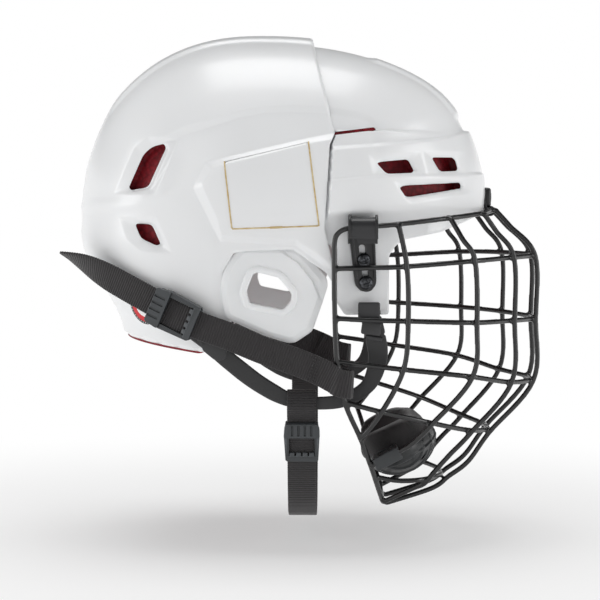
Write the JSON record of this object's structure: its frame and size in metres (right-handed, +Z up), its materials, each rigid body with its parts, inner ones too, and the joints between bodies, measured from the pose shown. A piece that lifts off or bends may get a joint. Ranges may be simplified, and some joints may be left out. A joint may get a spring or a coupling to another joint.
{
  "type": "ice hockey helmet with wire face cage",
  "caption": "Two-piece ice hockey helmet with vented white shells, foam liner, ear covers, hinged wire face cage, chin cup and webbing straps with ladder buckles.",
  "frame": {"origin": "the middle of the wearer's head at ear height, inside the empty helmet", "axes": "+X forward out of the face, +Y to the wearer's left, +Z up through the crown"},
  "size_m": [0.3286, 0.2232, 0.3329],
  "materials": {
    "shell_white": "gloss injection moulded",
    "ear_milky": "satin, milky and slightly see-through",
    "liner_red": "moulded closed-cell foam, matte",
    "label_vinyl": "printed vinyl, no lettering",
    "soft_black": "soft moulded plastic",
    "webbing": "ribbed woven nylon",
    "buckle_grey": "satin moulded",
    "clip_black": "satin moulded",
    "screw_black": "black oxide",
    "cage_black": "gloss powder coat on steel wire",
    "cup_grey": "satin moulded",
    "pad_black": "cloth-faced foam"
  },
  "bodies": {
    "rear_half": {"rear_shell": "shell_white", "rear_liner": "liner_red", "ear_cover_right": "ear_milky", "ear_cover_left": "ear_milky", "size_label": "label_vinyl", "ear_loop_right": "soft_black", "ear_loop_left": "soft_black", "chin_strap": "webbing"},
    "chin_buckle": {"chin_buckle": "buckle_grey"},
    "latch_right": {"latch_right": "shell_white"},
    "latch_left": {"latch_left": "shell_white"},
    "front_half": {"front_shell": "shell_white", "front_liner": "liner_red", "forehead_clip": "clip_black", "j_clip_right": "clip_black", "j_clip_left": "clip_black", "screw_upper_right": "screw_black", "screw_upper_left": "screw_black", "screw_lower_right": "screw_black", "screw_lower_left": "screw_black"},
    "cage": {"cage_frame": "cage_black", "bar_eye": "cage_black", "bar_cheek": "cage_black", "bar_mouth": "cage_black", "bar_jaw": "cage_black", "bar_chin": "cage_black", "upright_1_right": "cage_black", "upright_2_right": "cage_black", "upright_3_right": "cage_black", "upright_4_right": "cage_black", "upright_1_left": "cage_black", "upright_2_left": "cage_black", "upright_3_left": "cage_black", "upright_4_left": "cage_black", "chin_cup": "cup_grey", "chin_pad": "pad_black", "cup_clip_right": "cup_grey", "cup_clip_left": "cup_grey"},
    "strap_right": {"cage_strap_right": "webbing", "cage_buckle_right": "buckle_grey"},
    "strap_left": {"cage_strap_left": "webbing", "cage_buckle_left": "buckle_grey"}
  },
  "joints": [
    {"name": "size_slide", "type": "slide", "parent": "rear_half", "child": "front_half", "axis": [1, 0, 0], "range_m": [0, 0.008]},
    {"name": "cage_hinge", "type": "hinge", "parent": "front_half", "child": "cage", "pos_m": [0.145, 0, 0.063], "axis": [0, -1, 0], "range_deg": [0, 80]},
    {"name": "strap_hinge_right", "type": "hinge", "parent": "cage", "child": "strap_right", "pos_m": [0.0406, -0.1034, -0.049], "axis": [-0.1818, -0.0545, 0.9818], "range_deg": [0, 60]},
    {"name": "strap_hinge_left", "type": "hinge", "parent": "cage", "child": "strap_left", "pos_m": [0.0406, 0.1034, -0.049], "axis": [0.1818, -0.0545, -0.9818], "range_deg": [0, 60]},
    {"name": "latch_hinge_right", "type": "hinge", "parent": "rear_half", "child": "latch_right", "pos_m": [-0.0085, -0.1007, 0.1035], "axis": [-0.9712, -0.0636, -0.2296], "range_deg": [0, 70]},
    {"name": "latch_hinge_left", "type": "hinge", "parent": "rear_half", "child": "latch_left", "pos_m": [-0.0085, 0.1007, 0.1035], "axis": [0.9712, -0.0636, 0.2296], "range_deg": [0, 70]},
    {"name": "chin_buckle_slide", "type": "slide", "parent": "rear_half", "child": "chin_buckle", "axis": [0, -0.3633, 0.9317], "range_m": [-0.012, 0]}
  ]
}
